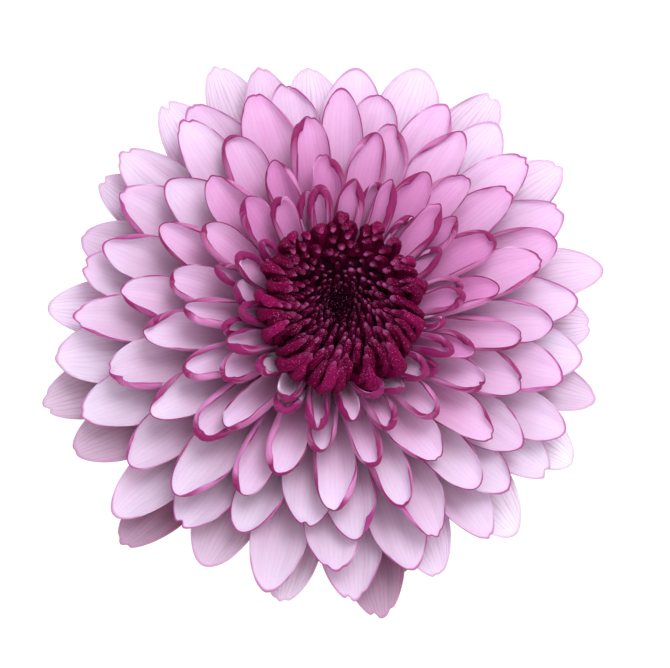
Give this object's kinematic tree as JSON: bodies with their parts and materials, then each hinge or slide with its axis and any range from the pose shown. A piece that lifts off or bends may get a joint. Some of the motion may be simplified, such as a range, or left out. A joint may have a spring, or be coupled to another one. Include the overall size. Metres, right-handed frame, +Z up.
{
  "type": "pompon chrysanthemum in vase",
  "caption": "Pink chrysanthemum bloom with nested cupped petals and a crimson centre, on a leafy cut stem in a small plain bud vase.",
  "frame": {"origin": "centre of the vase's base, on the surface it stands on", "axes": "+Z up along the vase's axis; the bloom faces up and leans towards +Y and a little +X"},
  "size_m": [0.0806, 0.0784, 0.1689],
  "materials": {
    "petal": "matte petal, pale pink to white on its face and magenta on its back and rim",
    "young_petal": "velvety, crimson-magenta",
    "disc_bud": "velvety, dark crimson with lighter tips",
    "bract": "matte green with a thin pale edge",
    "stem_green": "finely ribbed green stem",
    "leaf": "matte dark green, paler below, veined",
    "glazed_stoneware": "satin glazed pale stoneware"
  },
  "bodies": {
    "root": {"calyx_bracts_inner": "bract", "calyx_bracts_outer": "bract", "disc_florets": "disc_bud", "leaf_high": "leaf", "leaf_low": "leaf", "leaf_middle": "leaf", "leaf_top": "leaf", "ray_petals_1": "petal", "ray_petals_2": "petal", "ray_petals_3": "petal", "ray_petals_4": "petal", "ray_petals_5": "petal", "ray_petals_6": "petal", "ray_petals_7": "petal", "ray_petals_8": "petal", "ray_petals_9": "petal", "receptacle": "stem_green", "stem": "stem_green", "vase": "glazed_stoneware", "vase_neck": "glazed_stoneware", "young_florets_inner": "young_petal", "young_florets_outer": "young_petal"}
  },
  "joints": []
}
